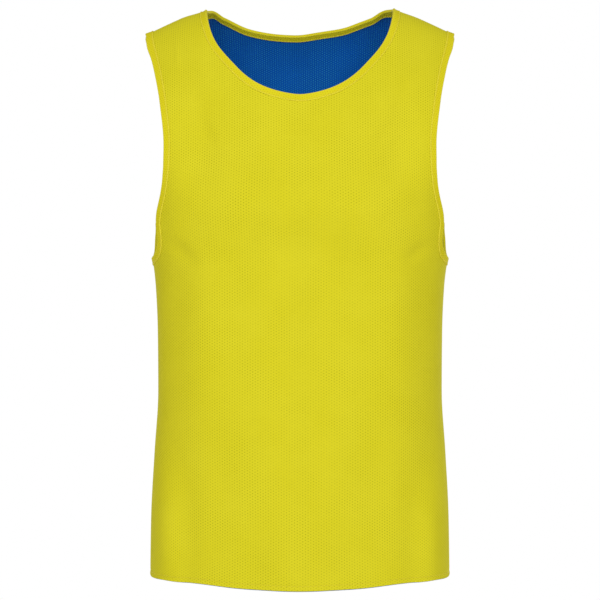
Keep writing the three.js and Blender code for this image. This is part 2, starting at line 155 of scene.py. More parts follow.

# %% [markdown]
# ## Creases and pulls
#
# The largest folds are in the solids already. Thin mesh also takes shallow creases: a swell across
# the chest, drag lines from the armholes, a slack band at the waist, and soft flutes above the hem.
# Each row below is one of them, placed with its own length, width and depth, so no two are
# alike. A crease runs straight from one end to the other and fades on all sides. It is written as x
# and z of its two ends, half its width, and its height, out (+) or in (-).
#
# A pull shifts the cloth round one place, as a seam does when it draws up. Most pulls are a few
# millimetres, and the largest ease the chest and the corners of the hem forward by up to 18. Each
# has a centre, how far it reaches sideways and up, and the shift in x, y and z. A pull on both
# faces may cross a seam.

# %% The creases
CREASES = {  # one end, the other end, half the width, height
    "front": [
        ((-262, -246), (252, -255), 64, 8),
        ((-164, -286), (-116, -324), 13, -2.6),
        ((162, -290), (118, -320), 12, -2.3),
        ((-124, -140), (-94, -192), 11, -1.8),
        ((-152, -36), (-145, -96), 6, 0.9),
        ((118, -142), (76, -198), 12, -1.9),
        ((-155, -530), (-150, -770), 27, 3.4),
        ((149, -545), (153, -770), 25, 3.1),
        ((-94, -496), (-86, -730), 27, -2.2),
        ((92, -484), (86, -726), 29, -2.4),
        ((-66, -568), (62, -573), 17, 1.9),
        ((-112, -603), (-58, -599), 7, 0.8),
        ((-106, -621), (-54, -625), 7, 0.7),
        ((-114, -641), (-64, -637), 6.5, 0.7),
        ((-100, -658), (-58, -661), 7, 0.6),
        ((58, -597), (106, -602), 7, 0.7),
        ((56, -615), (114, -611), 6.5, 0.8),
        ((62, -636), (102, -640), 7, 0.6),
        ((54, -654), (110, -651), 7, 0.7),
    ],
    "back": [
        ((-214, -238), (220, -228), 50, 3.2),
        ((-160, -246), (-106, -304), 14, -2.4),
        ((154, -262), (102, -298), 12, -2.1),
        ((122, -126), (88, -194), 12, -1.8),
        ((-112, -138), (-84, -178), 11, -1.5),
        ((-104, -398), (92, -390), 16, 2.0),
        ((-76, -428), (112, -438), 15, -1.8),
        ((-60, -466), (54, -461), 14, 1.2),
        ((-142, -534), (-148, -770), 29, 3.2),
        ((2, -580), (8, -770), 27, 2.8),
        ((140, -556), (144, -770), 26, 2.9),
        ((-96, -520), (-90, -730), 24, -1.7),
        ((-84, -612), (-38, -616), 7, 0.7),
        ((-78, -634), (-30, -630), 6.5, 0.6),
        ((48, -606), (102, -601), 7, 0.7),
        ((60, -628), (96, -632), 7, 0.6),
        ((50, -648), (106, -645), 7, 0.7),
    ],
}
print("creases:", {face: len(rows) for face, rows in CREASES.items()})

# %% The pulls
PULLS = {  # centre, reach sideways and up, shift
    "both": [
        ((-120, 0), (30, 40), (0, 0, -3)),
        ((-117, 0), (8, 30), (0, 0, -1.8)),
        ((121, 0), (30, 40), (0, 0, -1.8)),
        ((117, 0), (8, 30), (0, 0, -1)),
        ((-109, -5), (13, 30), (0, 0, 3.6)),
        ((106, -6), (16, 32), (0, 0, 3.8)),
        ((-192, -33), (9, 6), (-1.6, 0, 0)),
        ((192, -33), (9, 6), (1.4, 0, 0)),
        ((-188, -54), (14, 20), (-1.7, 0, 0)),
        ((188, -54), (14, 20), (1.5, 0, 0)),
        ((-188, -318), (22, 34), (-0.4, 0, 4)),
        ((188, -318), (22, 34), (0.8, 0, 4)),
    ],
    "front": [
        ((0, -112), (110, 80), (0, 0, -3.6)),
        ((-62, -90), (58, 72), (-0.6, 0, -3.6)),
        ((62, -90), (58, 72), (0.3, 0, -2.9)),
        ((-98, -46), (34, 44), (-2, 0, -1.6)),
        ((98, -46), (32, 44), (1.3, 0, -1.2)),
        ((-171, -158), (60, 118), (0.2, -12.5, 0)),
        ((170, -154), (58, 116), (-0.2, -12, 0)),
        ((-176, -645), (50, 140), (1.2, -18, 0)),
        ((177, -650), (50, 136), (-1.5, -17.5, 0)),
        ((-4, -392), (168, 150), (0, 6, 0)),
        ((-169, -234), (40, 44), (3.9, 0, 0)),
        ((169, -234), (40, 44), (-3.8, 0, 0)),
        ((-150, -215), (48, 80), (0, -4, 0)),
        ((152, -211), (50, 76), (0, -3.8, 0)),
        ((-129, -243), (24, 18), (0, -1.4, 0)),
        ((118, -240), (26, 19), (0, -1.5, 0)),
        ((-160, -372), (50, 134), (0, 2.4, 0)),
        ((159, -364), (52, 138), (0, 2.6, 0)),
        ((-6, -668), (52, 66), (0, -3, 0)),
        ((-176, -284), (30, 80), (0, 3.4, 0)),
        ((176, -282), (30, 80), (0, 3, 0)),
        ((-122, -702), (66, 50), (0, 0, 2.2)),
        ((-166, -702), (28, 40), (0, 0, 1.9)),
        ((122, -702), (66, 50), (0, 0, 2.2)),
        ((166, -702), (28, 40), (0, 0, 1.9)),
        ((-182, -281), (20, 32), (2.8, 0, 0)),
        ((182, -281), (20, 32), (-2.8, 0, 0)),
    ],
    "back": [
        ((-191, -48), (18, 34), (3, 0, 0)),
        ((191, -48), (18, 34), (-3.1, 0, 0)),
        ((-98, -15), (34, 40), (0, 0, 2.8)),
        ((84, -22), (62, 50), (0, 0, 5.5)),
        ((30, -22), (36, 40), (0, 0, 3.2)),
        ((-176, -222), (22, 34), (2.2, 0, 0)),
        ((176, -222), (22, 34), (-2.6, 0, 0)),
        ((-182, -292), (22, 40), (-2, 0, 0)),
        ((182, -292), (22, 40), (2.6, 0, 0)),
        ((-158, -376), (48, 120), (0, -4, 0)),
        ((156, -358), (50, 128), (0, -3.6, 0)),
        ((-146, -208), (44, 62), (0, 3.4, 0)),
        ((150, -202), (44, 68), (0, 3.8, 0)),
    ],
}
print("pulls:", {face: len(rows) for face, rows in PULLS.items()})

# %% [markdown]
# ## The middle surface
#
# A spot on the surface is a pair: *turn*, the angle round the body from the middle of a face to the
# side seam, and *fall*, how far the cloth has come down from the shoulder. Working in these two
# numbers keeps every row of points on the cloth, whatever its shape. numpy places thousands of
# spots at once.


# %% Read a table smoothly
def table_reader(rows, column):
    heights = np.array([row["z"] for row in rows], float)[::-1]
    values = np.array([row[column] for row in rows], float)[::-1]
    step = np.diff(heights)
    rise = np.diff(values) / step
    slope = np.concatenate([rise[:1], np.zeros(len(rise) - 1), rise[-1:]])
    for k in range(1, len(rise)):
        if rise[k - 1] * rise[k] > 0:
            before, after = 2 * step[k] + step[k - 1], step[k] + 2 * step[k - 1]
            slope[k] = (before + after) / (before / rise[k - 1] + after / rise[k])

    def read(z):
        z = np.clip(z, heights[0], heights[-1])
        i = np.clip(np.searchsorted(heights, z, side="right") - 1, 0, len(step) - 1)
        t = (z - heights[i]) / step[i]
        return (
            (2 * t**3 - 3 * t**2 + 1) * values[i]
            + (t**3 - 2 * t**2 + t) * step[i] * slope[i]
            + (3 * t**2 - 2 * t**3) * values[i + 1]
            + (t**3 - t**2) * step[i] * slope[i + 1]
        )

    return read


read_half_width = table_reader(SECTIONS, "half_width")
for name, face in FACES.items():
    face["name"] = name
    face["depth"] = table_reader(SECTIONS, name)
    face["armhole"] = table_reader(ARMHOLE, name)
print(f"half width under the arms: {read_half_width(UNDERARM):.0f} mm")


# %% The shoulder line, the section and a soft bump
def shoulder_line(x):
    share = (np.abs(x) - HALF_NECK) / (HALF_SHOULDER - HALF_NECK)
    return -SHOULDER_DROP * np.clip(share, 0, SHOULDER_REACH) ** SHOULDER_CURVE


def reach(turn):
    across, deep = np.abs(np.sin(turn)) ** SQUARENESS, np.abs(np.cos(turn)) ** SQUARENESS
    return (across + deep) ** (-1 / SQUARENESS)


def swell(share):
    return np.where(np.abs(share) < 1, np.cos(np.clip(share, -1, 1) * QUARTER) ** 2, 0)


print(f"the shoulder tip is at z = {shoulder_line(HALF_SHOULDER):.1f} mm")


# %% Raise the folds
def fold_height(face, x, z):
    height = np.zeros(np.broadcast(x, z).shape)
    for (top_x, top), (bottom_x, bottom), half_width, out in FOLDS[face["name"]]:
        along = (z - bottom) / (top - bottom)
        centre = bottom_x + (top_x - bottom_x) * along
        height += out * swell(2 * along - 1) * swell((x - centre) / half_width)
    return height


# %% Place a spot
SETTLE_STEPS = 14


def point_at(face, turn, z):
    far = reach(turn)
    x = read_half_width(z) * np.sin(turn) * far
    drop = np.clip((shoulder_line(x) - z) / face["crown"], 0, 1)
    upright = np.sqrt(1 - (1 - drop) ** 2)
    depth = face["depth"](z) * far + fold_height(face, x, z)
    return np.stack([x, face["side"] * depth * np.cos(turn) * upright, z + 0 * x], -1)


def place(face, spots):
    turn, fall = spots[..., 0], spots[..., 1]
    drop = np.where(fall < QUARTER, 1 - np.cos(np.maximum(fall, 0)), fall - QUARTER + 1)
    z = -drop * face["crown"]
    for _ in range(SETTLE_STEPS):
        z = shoulder_line(point_at(face, turn, z)[..., 0]) - drop * face["crown"]
    return point_at(face, turn, z)


# %% Find the spot of a point
def angle_at(x, z):
    share = (x / read_half_width(z)) ** SQUARENESS
    return np.arctan((share / (1 - share)) ** (1 / SQUARENESS))


def spot_at(face, turn, z):
    turn, z = np.broadcast_arrays(np.asarray(turn, float), np.asarray(z, float))
    x = point_at(face, turn, z)[..., 0]
    drop = np.maximum(0, (shoulder_line(x) - z) / face["crown"])
    fall = np.where(drop < 1, np.arccos(np.clip(1 - drop, -1, 1)), QUARTER + drop - 1)
    return np.stack([turn, fall], -1)


# %% [markdown]
# ## Laying out the panels
#
# Each half of a face is one grid of spots in three blocks: the skirt, the chest and the strap that
# goes over the shoulder. Columns that run into the neck or the armhole stop there, and the rest
# carry on, as the threads of the real cloth do. A bound edge is followed by a second line one
# binding width further in. Rows crowd together at the hem and columns at the side seam, where
# stitching pulls small shapes into the cloth.

# %% How finely the cloth is divided
NECK_COLUMNS = 15
STRAP_COLUMNS = 30
SIDE_COLUMNS = 20
CHEST_ROWS = 42
STRAP_ROWS = 48
BAND_ROWS = 4
LEVEL_ROW = -430.0
ROW_CROWDING = 1.15
NECK_FOOT_SHARE = 0.3
ARMHOLE_FOOT_SHARE = 0.24
FINE = 400
OFFSET_STEPS = 8
HEM_ROWS_MM = [0, 0.6, 1.4, 2.4, 3.6, 4.6, 5.2, 5.8, 6.4, 7.4, 9, 11.5]  # heights above the hem
HEM_STITCH_ROW = 7
SKIRT_ROW_MM = 3.6
SEAM_COLUMN_SHARES = [0.16, 0.38, 0.65]  # extra columns beside the side seam
CHEST_BEND = {"early_out": 0.25, "early_down": 0.45, "late_out": 0.5, "late_down": 1.0}


def shares(count, crowding=1.0):
    return 1 - (1 - np.linspace(0, 1, count + 1)) ** crowding


def lengths_along(points):
    return np.concatenate([[0], np.cumsum(np.linalg.norm(np.diff(points, axis=0), axis=1))])


def spaced(face, curve, at):
    lengths = lengths_along(place(face, curve))
    wanted = np.asarray(at) * lengths[-1]
    return np.stack([np.interp(wanted, lengths, curve[:, k]) for k in (0, 1)], -1)


# %% Draw the edges of the neck and the armhole
def neck_curve(face):
    across = np.sin(shares(FINE) * QUARTER)
    x = HALF_NECK * across
    z = -face["neck_drop"] * np.maximum(0, 1 - across ** face["neck_round"]) ** face["neck_lift"]
    return spot_at(face, angle_at(x, z), z)


def armhole_curve(face):
    foot_top, power = face["foot_top"], 2 / face["foot_round"]
    foot_turn = angle_at(face["armhole"](foot_top), foot_top)
    share = shares(FINE)
    turn = QUARTER - (QUARTER - foot_turn) * np.sin(share * QUARTER) ** power
    z = foot_top - (foot_top - UNDERARM) * np.abs(np.cos(share * QUARTER)) ** power
    foot = spot_at(face, turn, z)
    z = -SHOULDER_DROP - (-SHOULDER_DROP - foot_top) * (1 - share) ** 2
    return np.concatenate([foot, spot_at(face, angle_at(face["armhole"](z), z), z)[1:]])


for name, face in FACES.items():
    neck = lengths_along(place(face, neck_curve(face)))[-1]
    armhole = lengths_along(place(face, armhole_curve(face)))[-1]
    print(f"{name}: half the neck edge is {neck:.0f} mm, the armhole edge {armhole:.0f} mm")

# %% Move a line inwards on the surface
NUDGE = 1e-4


def slopes(face, spots):
    here = place(face, spots)
    steps = np.array([(NUDGE, 0), (0, NUDGE)])
    return [(place(face, spots + step) - here) / NUDGE for step in steps]


def unit(vectors):
    return vectors / np.maximum(np.linalg.norm(vectors, axis=-1, keepdims=True), 1e-12)


def dot(a, b):
    return np.sum(a * b, -1)


def inside_line(face, edge, way):
    points = place(face, edge)
    tangent = np.empty_like(points)
    tangent[1:-1] = points[2:] - points[:-2]
    tangent[0], tangent[-1] = points[1] - points[0], points[-1] - points[-2]
    by_turn, by_fall = slopes(face, edge)
    inwards = np.cross(unit(tangent), unit(np.cross(by_turn, by_fall)))
    step = inwards * way * BINDING_WIDTH / OFFSET_STEPS
    now = edge.copy()
    for _ in range(OFFSET_STEPS):
        by_turn, by_fall = slopes(face, now)
        tt, tf, ff = dot(by_turn, by_turn), dot(by_turn, by_fall), dot(by_fall, by_fall)
        st, sf = dot(step, by_turn), dot(step, by_fall)
        area = (tt * ff - tf * tf)[:, None]
        now = now + np.stack([st * ff - sf * tf, sf * tt - st * tf], -1) / area
    return now


# %% Fill a block between four lines
def along_shoulder(x, distance):
    slope = (shoulder_line(x + 1) - shoulder_line(x - 1)) / 2
    return x + distance / math.hypot(1, slope)


def seam_spot(face, x):
    return spot_at(face, angle_at(x, shoulder_line(x)), shoulder_line(x))


def chest_curve(start, end):
    t = shares(FINE)
    early, late, last = 3 * (1 - t) ** 2 * t, 3 * (1 - t) * t**2, t**3
    out = early * CHEST_BEND["early_out"] + late * CHEST_BEND["late_out"] + last
    down = early * CHEST_BEND["early_down"] + late * CHEST_BEND["late_down"] + last
    return start + (end - start) * np.stack([out, down], -1)


def filled(bottom, top, left, right, across, up):
    a, b = across[None, :, None], up[:, None, None]
    sides = (1 - a) * left[:, None] + a * right[:, None]
    ends = (1 - b) * bottom[None] + b * top[None]
    near, far = (1 - b) * bottom[0] + b * top[0], (1 - b) * bottom[-1] + b * top[-1]
    return sides + ends - ((1 - a) * near + a * far)


# %% Lay out one face
def bound_edges(face, strap_up, side_out):
    def divided(curve, foot_at, share):
        at = np.concatenate([foot_at * share, share + strap_up[1:] * (1 - share)])
        return spaced(face, curve(face), at)

    neck_edge = divided(neck_curve, shares(NECK_COLUMNS), NECK_FOOT_SHARE)
    armhole_edge = divided(armhole_curve, 1 - side_out[::-1], ARMHOLE_FOOT_SHARE)
    neck_edge[0, 0] = 0
    neck_edge[-1] = seam_spot(face, HALF_NECK)
    armhole_edge[0] = spot_at(face, QUARTER, UNDERARM)
    armhole_edge[-1] = seam_spot(face, HALF_SHOULDER)
    return neck_edge, armhole_edge


def lay_out(face):
    strap_up = shares(STRAP_ROWS, ROW_CROWDING)
    last_gap = 1 - 1 / SIDE_COLUMNS + (1 - np.array(SEAM_COLUMN_SHARES[::-1])) / SIDE_COLUMNS
    side_out = np.concatenate([shares(SIDE_COLUMNS)[:-1], last_gap, [1.0]])
    neck_edge, armhole_edge = bound_edges(face, strap_up, side_out)
    neck_inside = inside_line(face, neck_edge, -1)
    armhole_inside = inside_line(face, armhole_edge, 1)
    neck_seam = along_shoulder(HALF_NECK, BINDING_WIDTH)
    tip_seam = along_shoulder(HALF_SHOULDER, -BINDING_WIDTH)
    neck_inside[0, 0] = 0
    neck_inside[-1] = seam_spot(face, neck_seam)
    armhole_inside[0] = spot_at(face, QUARTER, UNDERARM - BINDING_WIDTH)
    armhole_inside[-1] = seam_spot(face, tip_seam)

    neck_foot, armhole_foot = NECK_COLUMNS, len(side_out) - 1
    across = shares(STRAP_COLUMNS)
    strap_sides = neck_inside[neck_foot:], armhole_inside[armhole_foot:]
    chest = spaced(face, chest_curve(strap_sides[0][0], strap_sides[1][0]), across)
    shoulder = seam_spot(face, neck_seam + across * (tip_seam - neck_seam))
    strap = filled(chest, shoulder, *strap_sides, across, strap_up)

    columns = np.concatenate([
        shares(NECK_COLUMNS)[:-1] * NECK_COLUMNS,
        NECK_COLUMNS + across[:-1] * STRAP_COLUMNS,
        NECK_COLUMNS + STRAP_COLUMNS + side_out * SIDE_COLUMNS,
    ]) / (NECK_COLUMNS + STRAP_COLUMNS + SIDE_COLUMNS)
    turns = shares(FINE) * QUARTER
    hem_z = -BODY_LENGTH + HEM_LIFT * np.sin(2 * turns) ** 2
    hem = spaced(face, spot_at(face, turns, hem_z), columns)
    level = spaced(face, spot_at(face, turns, LEVEL_ROW), columns)
    hem[-1, 0] = level[-1, 0] = QUARTER
    top = np.concatenate([neck_inside[:neck_foot], chest, armhole_inside[:armhole_foot][::-1]])
    skirt_height = BODY_LENGTH + LEVEL_ROW
    upper_rows = int((skirt_height - HEM_ROWS_MM[-1]) / SKIRT_ROW_MM)
    upper = np.linspace(HEM_ROWS_MM[-1], skirt_height, upper_rows)
    skirt_up = np.concatenate([HEM_ROWS_MM[:-1], upper]) / skirt_height
    chest_up = shares(CHEST_ROWS, ROW_CROWDING)

    def block(low, high, up):
        edges = [low[k] + (high[k] - low[k]) * up[:, None] for k in (0, -1)]
        return filled(low, high, *edges, columns, up)

    def band(inside, edge):
        share = np.linspace(0, 1, BAND_ROWS + 1)[:, None, None]
        return inside[None] + (edge - inside)[None] * share

    return {
        "blocks": [block(hem, level, skirt_up), block(level, top, chest_up), strap],
        "neck_band": band(neck_inside, neck_edge),
        "armhole_band": band(armhole_inside, armhole_edge),
        "hem": hem,
    }


plans = {name: lay_out(face) for name, face in FACES.items()}
print("rows and columns:", [block.shape[:2] for block in plans["front"]["blocks"]])

# %% [markdown]
# ## Thread coordinates
#
# The pattern of a knit follows its threads, not the room. So every point of the cloth gets two
# lengths in millimetres: how far it is from the centre line of its panel, measured along the cloth,
# and how far above the hem. They come from adding up small steps over the surface once, and reading
# the sums back between them.

# %% Measure along the cloth
TURN_SAMPLES = 90
FALL_SAMPLES = 240
BELOW_HEM_MM = 12
SHORT_OF_LAST = 1.001  # keeps the last sample's index inside the grid


def cloth_ruler(face):
    turns = np.linspace(0, QUARTER, TURN_SAMPLES)
    deepest = spot_at(face, QUARTER * 0.5, -BODY_LENGTH - BELOW_HEM_MM)[1]
    falls = np.linspace(0, deepest, FALL_SAMPLES)
    grid = place(face, np.stack(np.meshgrid(turns, falls, indexing="ij"), -1))
    sideways = np.linalg.norm(np.diff(grid, axis=0), axis=-1)
    down = np.linalg.norm(np.diff(grid, axis=1), axis=-1)
    out = np.concatenate([np.zeros((1, FALL_SAMPLES)), np.cumsum(sideways, 0)])
    fallen = np.concatenate([np.zeros((TURN_SAMPLES, 1)), np.cumsum(down, 1)], 1)
    hem_fall = spot_at(face, turns, -BODY_LENGTH)[:, 1]
    at_hem = np.array([np.interp(f, falls, row) for f, row in zip(hem_fall, fallen)])
    up = at_hem[:, None] - fallen

    def read(spots):
        i = np.clip(spots[..., 0] / QUARTER * (TURN_SAMPLES - 1), 0, TURN_SAMPLES - SHORT_OF_LAST)
        j = np.clip(spots[..., 1] / deepest * (FALL_SAMPLES - 1), 0, FALL_SAMPLES - SHORT_OF_LAST)
        i0, j0 = i.astype(int), j.astype(int)
        a, b = i - i0, j - j0
        across, height, below_shoulder = (
            (1 - a) * (1 - b) * t[i0, j0] + a * (1 - b) * t[i0 + 1, j0]
            + (1 - a) * b * t[i0, j0 + 1] + a * b * t[i0 + 1, j0 + 1]
            for t in (out, up, fallen)
        )
        to_side = (1 - b) * out[-1, j0] + b * out[-1, j0 + 1] - across
        return across, height, np.minimum(to_side, below_shoulder)

    return read


for name, face in FACES.items():
    face["ruler"] = cloth_ruler(face)
    across, _, _ = face["ruler"](plans[name]["hem"])
    print(f"half the {name} is {across[-1]:.0f} mm wide at the hem")

# %% [markdown]
# ## From spots to sheets
#
# A sheet joins the blocks of one face and their mirror image. Points that two blocks share are
# found by rounding their places, and are kept once. Creases are then pressed into the sheet along
# its normals, before the layers are made, so that both layers and the bindings crease together and
# never cut into each other.

# %% Join the blocks
MERGE_MM = 0.01


def merged(points):
    keys = np.round(points / MERGE_MM).astype(np.int64)
    _, first, where = np.unique(keys, axis=0, return_index=True, return_inverse=True)
    return first, where.reshape(-1)


def make_sheet(name):
    face, plan = FACES[name], plans[name]
    bands = {"neck": plan["neck_band"], "armhole": plan["armhole_band"][::-1]}
    blocks = list(zip(("skirt", "chest", "strap"), plan["blocks"])) + list(bands.items())
    points, threads, to_seam, cells, numbered = [], [], [], [], {}
    count = 0
    for label, block in blocks:
        rows, columns = block.shape[:2]
        solid = place(face, block)
        out, up, seam = face["ruler"](block)
        index = np.arange(rows * columns).reshape(rows, columns)
        corners = index[:-1, :-1], index[:-1, 1:], index[1:, 1:], index[1:, :-1]
        quads = np.stack(corners, -1).reshape(-1, 4)
        if face["side"] > 0:
            quads = quads[:, ::-1]
        for way in (1, -1):
            points.append(solid.reshape(-1, 3) * [way, 1, 1])
            threads.append(np.stack([way * out, up], -1).reshape(-1, 2))
            to_seam.append(seam.ravel())
            cells.append((quads if way > 0 else quads[:, ::-1]) + count)
            numbered[label, way] = index + count
            count += rows * columns
    points, threads, to_seam = map(np.concatenate, (points, threads, to_seam))
    first, where = merged(points)
    return {
        "name": name,
        "points": points[first],
        "threads": threads[first],
        "to_seam": to_seam[first],
        "cells": where[np.concatenate(cells)],
        "rows": {key: where[index] for key, index in numbered.items()},
    }


# %% Find the way out of the cloth
def find_normals(sheets):
    points = np.concatenate([sheet["points"] for sheet in sheets])
    starts = np.cumsum([0] + [len(sheet["points"]) for sheet in sheets])
    cells = np.concatenate([sheet["cells"] + start for sheet, start in zip(sheets, starts)])
    corner = points[cells]
    facing = np.cross(corner[:, 2] - corner[:, 0], corner[:, 3] - corner[:, 1])
    _, where = merged(points)
    total = np.zeros((where.max() + 1, 3))
    for k in range(4):
        np.add.at(total, where[cells[:, k]], facing)
    normals = unit(total)[where]
    for sheet, start, end in zip(sheets, starts, starts[1:]):
        sheet["normals"] = normals[start:end]


sheets = {name: make_sheet(name) for name in FACES}
find_normals(list(sheets.values()))
print("cells in a sheet:", {name: len(sheet["cells"]) for name, sheet in sheets.items()})

# %% Press the creases in
SEAM_STAYS_MM = 14.0  # what one face does alone fades out over this much before a seam


def crease_height(sheet):
    x, _, z = sheet["points"].T
    height = np.zeros(len(x))
    for start, end, half_width, out in CREASES[sheet["name"]]:
        start, end = np.array(start, float), np.array(end, float)
        run = end - start
        offset = np.stack([x, z], -1) - start
        along = offset @ run / (run @ run)
        across = (offset[:, 0] * run[1] - offset[:, 1] * run[0]) / np.linalg.norm(run)
        height += out * swell(2 * along - 1) * swell(across / half_width)
    return height


def pulled(sheet, fade):
    x, _, z = sheet["points"].T
    shift = np.zeros_like(sheet["points"])
    for face, share in (("both", 1), (sheet["name"], fade)):
        for (at_x, at_z), (wide, high), by in PULLS[face]:
            away = np.hypot((x - at_x) / wide, (z - at_z) / high)
            shift += (swell(away) * share)[:, None] * np.array(by, float)
    return shift


for name, sheet in sheets.items():
    fade = np.clip(sheet["to_seam"] / SEAM_STAYS_MM, 0, 1)
    shift = sheet["normals"] * (crease_height(sheet) * fade)[:, None] + pulled(sheet, fade)
    sheet["points"] += shift
    print(f"{name}: the cloth moves {np.linalg.norm(shift, axis=1).max():.0f} mm at most")
find_normals(list(sheets.values()))

# %% [markdown]
# ## Four panels
#
# Each panel is a closed shell about a millimetre thick. Its visible side gets the small relief that
# sewing leaves: the cloth dives into every seam, and above the hem it is pinched by a row of
# topstitching, with a soft roll below where the edge is turned in. The blue layer hangs a hair
# lower than the yellow one, so that it shows as a thin line under the hem, as on the real bib.

# %% The relief that sewing leaves
LAYER_START = 0.15
LAYER_END = 1.15
HEM_STITCH_MM = HEM_ROWS_MM[HEM_STITCH_ROW]
SEAM_DIVE = {"width": 3.2, "depth": 0.7}
HEM_ROLL = {"height": 0.3, "pinch": 0.55, "pinch_width": 1.8}
EDGE_TUCK = {"depth": 0.45, "width": 0.5}
BLUE_BELOW_MM = 0.7


def sewing_relief(sheet, height):
    dive = -SEAM_DIVE["depth"] * np.exp(-((sheet["to_seam"] / SEAM_DIVE["width"]) ** 2))
    roll = HEM_ROLL["height"] * swell((height - HEM_STITCH_MM / 2) / (HEM_STITCH_MM / 2))
    above = height - HEM_STITCH_MM
    pinch = -HEM_ROLL["pinch"] * np.exp(-((above / HEM_ROLL["pinch_width"]) ** 2))
    tuck = -EDGE_TUCK["depth"] * np.exp(-((height / EDGE_TUCK["width"]) ** 2))
    return dive + roll + pinch + tuck


# %% Make an object
UV_NAME = "threads_mm"


def new_object(name, data):
    made = bpy.data.objects.new(name, data)
    bpy.context.collection.objects.link(made)
    return made


def mesh_object(name, points_mm, faces, corner_uv, material):
    mesh = bpy.data.meshes.new(name)
    mesh.from_pydata((np.asarray(points_mm) * MM).tolist(), [], faces)
    layer = mesh.uv_layers.new(name=UV_NAME)
    layer.data.foreach_set("uv", np.asarray(corner_uv, np.float32).ravel())
    mesh.polygons.foreach_set("use_smooth", np.ones(len(mesh.polygons), bool))
    mesh.materials.append(material)
    mesh.validate()
    return new_object(name, mesh)


# %% Close a sheet into a panel
def rim_of(cells):
    edges = np.concatenate([cells[:, [k, (k + 1) % 4]] for k in range(4)])
    low, high = edges.min(1), edges.max(1)
    keys = low * (cells.max() + 1) + high
    _, first, counts = np.unique(keys, return_index=True, return_counts=True)
    return edges[first[counts == 1]]


def make_panel(name, sheet, way, material, lower):
    height = sheet["threads"][:, 1]
    relief = sewing_relief(sheet, height)
    seen = sheet["points"] + sheet["normals"] * (way * (LAYER_END + relief))[:, None]
    hidden = sheet["points"] + sheet["normals"] * way * LAYER_START
    points = np.concatenate([seen, hidden] if way > 0 else [hidden, seen])
    threads = np.concatenate([sheet["threads"]] * 2)
    near_hem = swell(np.clip(np.concatenate([height] * 2) / (2 * HEM_STITCH_MM), 0, 1))
    points[:, 2] -= lower * near_hem
    count = len(sheet["points"])
    outer, inner = sheet["cells"], sheet["cells"][:, ::-1] + count
    rim = rim_of(sheet["cells"])
    side = np.stack([rim[:, 1], rim[:, 0], rim[:, 0] + count, rim[:, 1] + count], -1)
    faces = np.concatenate([outer, inner, side])
    return mesh_object(name, points, faces.tolist(), threads[faces], material)


# %% [markdown]
# ## Knitted polyester mesh
#
# The panels are warp-knitted polyester, a thin matt cloth full of tiny eyelets. The eyelets stand
# in columns, and every second column is shifted by half a step. They are far too small and too many
# to cut, so the material draws them from the thread coordinates: it measures the distance to the
# nearest eyelet in two interleaved grids, paints the eyelet in the colour of the other layer that
# shows through it, darkened a little with painted shade inside the hole, and sinks it with bump.
# The blue yarn scatters a little light at a grazing angle, so its shader has a touch of sheen.


# %% Colours, materials and nodes
def linear(hex_colour):
    def one(channel):
        return channel / 12.92 if channel <= 0.04045 else ((channel + 0.055) / 1.055) ** 2.4

    return [one(int(hex_colour[i:i + 2], 16) / 255) for i in (1, 3, 5)] + [1.0]


def new_material(name, **values):
    material = bpy.data.materials.new(name)
    material.use_nodes = True
    shader = material.node_tree.nodes["Principled BSDF"]
    for key, value in values.items():
        shader.inputs[key.replace("_", " ")].default_value = value
    return material, material.node_tree, shader


def add_node(tree, kind, settings=None, **inputs):
    node = tree.nodes.new(kind)
    for key, value in (settings or {}).items():
        setattr(node, key, value)
    for key, value in inputs.items():
        socket = node.inputs[int(key[1:]) if key[1:].isdigit() else key.replace("_", " ")]
        if isinstance(value, bpy.types.NodeSocket):
            tree.links.new(value, socket)
        else:
            socket.default_value = value
    return node


# %% The eyelet pattern
EYELET_INSIDE, EYELET_OUTSIDE = 0.45, 1.35  # shares of the radius between which an eyelet fades


def math_step(tree, operation, a, b):
    return add_node(tree, "ShaderNodeMath", {"operation": operation}, i0=a, i1=b).outputs[0]


def vector_step(tree, operation, *vectors):
    given = {f"i{k}": vector for k, vector in enumerate(vectors)}
    step = add_node(tree, "ShaderNodeVectorMath", {"operation": operation}, **given)
    return step.outputs["Value" if operation == "LENGTH" else 0]


def eyelet_distance(tree, threads, across, down, shift):
    scaled = vector_step(tree, "DIVIDE", threads, (across, down, 1.0))
    moved = vector_step(tree, "ADD", scaled, (shift, shift, 0))
    centred = vector_step(tree, "SUBTRACT", vector_step(tree, "FRACTION", moved), (0.5, 0.5, 0))
    return vector_step(tree, "LENGTH", vector_step(tree, "MULTIPLY", centred, (across, down, 0)))


def eyelets(tree, threads, column_mm, row_mm, radius_mm):
    one = eyelet_distance(tree, threads, 2 * column_mm, row_mm, 0.0)
    other = eyelet_distance(tree, threads, 2 * column_mm, row_mm, 0.5)
    return add_node(
        tree, "ShaderNodeMapRange", {"interpolation_type": "SMOOTHSTEP"},
        Value=math_step(tree, "MINIMUM", one, other),
        From_Min=radius_mm * EYELET_INSIDE, From_Max=radius_mm * EYELET_OUTSIDE,
        To_Min=1.0, To_Max=0.0,
    ).outputs[0]


# %% A knitted mesh material
DOUBLED_AND_HIGHLIGHT = "doubled_cloth_and_highlight"
YARN_PATCH_MM = 70
EYELET_PATCH_MM = 45
FAINTEST_EYELET = 0.55


